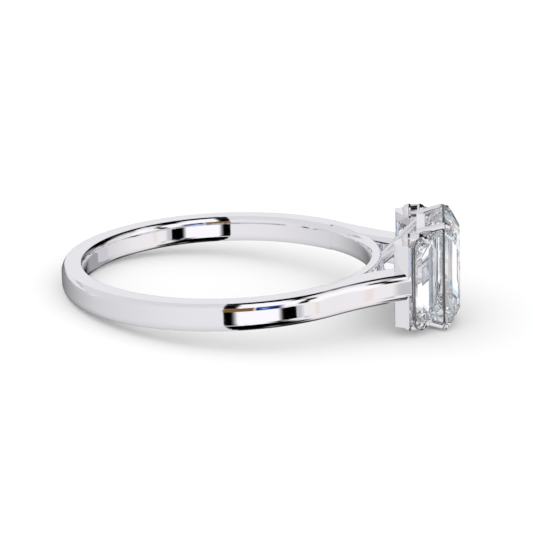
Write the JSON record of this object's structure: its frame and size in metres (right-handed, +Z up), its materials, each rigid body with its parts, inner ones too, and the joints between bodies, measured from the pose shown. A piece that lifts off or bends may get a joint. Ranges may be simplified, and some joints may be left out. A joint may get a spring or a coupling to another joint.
{
  "type": "three-stone ring",
  "caption": "Ring with a step-cut centre stone in claws, a tilted step-cut side stone on each shoulder and a plain cathedral shank, lying on its side.",
  "frame": {"origin": "middle of the ring's box, on the surface that it lies on", "axes": "+X from the back of the shank to the stones, +Y along the row of stones, +Z up from the surface"},
  "size_m": [0.0226, 0.0188, 0.0064],
  "materials": {
    "white_gold": "polished",
    "diamond": "polished"
  },
  "bodies": {
    "root": {"ring_mount": "white_gold", "centre_stone": "diamond", "side_stone_front": "diamond", "side_stone_back": "diamond"}
  },
  "joints": []
}
